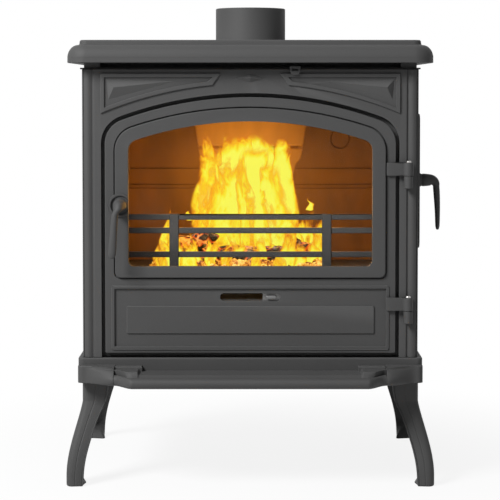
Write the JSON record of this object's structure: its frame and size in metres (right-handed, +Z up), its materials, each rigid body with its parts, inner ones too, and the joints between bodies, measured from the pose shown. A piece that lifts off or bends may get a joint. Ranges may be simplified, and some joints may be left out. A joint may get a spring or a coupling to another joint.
{
  "type": "wood stove",
  "caption": "Cast-iron wood stove with an arched glass front door, a side loading door, an ash lip, flared legs and a top flue outlet.",
  "frame": {"origin": "middle of the bounding box of the whole stove, on the floor", "axes": "+X to the right seen from the front, +Y to the back of the stove, +Z up"},
  "size_m": [0.7563, 0.6, 0.965],
  "materials": {
    "cast_iron": "matt graphite grey stove paint on sand-cast iron",
    "dark_iron": "bare cast iron, dark with heat and ash",
    "liner": "firebox liner, brown in the glow of the fire",
    "steel": "turned steel",
    "sheet_steel": "dark sheet steel",
    "glass": "clear ceramic stove glass",
    "rope": "knitted black glass-fibre rope"
  },
  "bodies": {
    "root": {"base_casting": "cast_iron", "ash_lip": "cast_iron", "leg_front_left": "cast_iron", "leg_front_right": "cast_iron", "leg_rear_left": "cast_iron", "leg_rear_right": "cast_iron", "front_frame": "cast_iron", "left_side_panel": "cast_iron", "right_side_panel": "cast_iron", "back_panel": "cast_iron", "top_collar": "cast_iron", "top_plate": "cast_iron", "flue_spigot": "cast_iron", "hearth_plate": "dark_iron", "grate": "dark_iron", "left_liner": "liner", "right_liner": "liner", "fireback": "liner", "fireback_centre": "liner", "baffle_plate": "liner", "log_guard": "dark_iron", "ash_pan": "sheet_steel", "front_catch": "steel", "front_hinge_lug_upper": "cast_iron", "front_hinge_lug_lower": "cast_iron", "front_hinge_pin_upper": "steel", "front_hinge_pin_lower": "steel", "side_hinge_lug_upper": "cast_iron", "side_hinge_lug_lower": "cast_iron", "side_hinge_pin_upper": "steel", "side_hinge_pin_lower": "steel"},
    "front_door": {"front_door": "cast_iron", "front_door_rope": "rope", "door_glass": "glass", "glass_clip_lower_left": "sheet_steel", "glass_clip_lower_right": "sheet_steel", "glass_clip_upper_left": "sheet_steel", "glass_clip_upper_right": "sheet_steel", "front_hinge_strap_upper": "cast_iron", "front_hinge_strap_lower": "cast_iron", "slide_rail_upper": "sheet_steel", "slide_rail_lower": "sheet_steel"},
    "lower_slide": {"lower_air_slide": "sheet_steel"},
    "upper_slide": {"upper_air_slide": "sheet_steel"},
    "front_handle": {"front_handle": "cast_iron", "front_spindle": "steel", "front_tongue": "steel"},
    "side_door": {"side_door": "cast_iron", "side_door_rope": "rope", "side_hinge_strap_upper": "cast_iron", "side_hinge_strap_lower": "cast_iron"},
    "side_handle": {"side_handle": "cast_iron", "side_spindle": "steel", "side_tongue": "steel"}
  },
  "joints": [
    {"name": "front_door_hinge", "type": "hinge", "parent": "root", "child": "front_door", "pos_m": [0.30195, -0.217, 0.52], "axis": [0, 0, 1], "range_deg": [0, 110]},
    {"name": "lower_air_slide", "type": "slide", "parent": "front_door", "child": "lower_slide", "axis": [1, 0, 0], "range_m": [-0.09, 0.007]},
    {"name": "front_handle_turn", "type": "hinge", "parent": "front_door", "child": "front_handle", "pos_m": [-0.26905, -0.218, 0.562], "axis": [0, 1, 0], "range_deg": [0, 90]},
    {"name": "side_door_hinge", "type": "hinge", "parent": "root", "child": "side_door", "pos_m": [0.32675, 0.167, 0.606], "axis": [0, 0, 1], "range_deg": [0, 110]},
    {"name": "side_handle_turn", "type": "hinge", "parent": "side_door", "child": "side_handle", "pos_m": [0.33155, -0.095, 0.606], "axis": [-1, 0, 0], "range_deg": [0, 90]},
    {"name": "upper_air_slide", "type": "slide", "parent": "root", "child": "upper_slide", "axis": [1, 0, 0], "range_m": [-0.06, 0]}
  ]
}
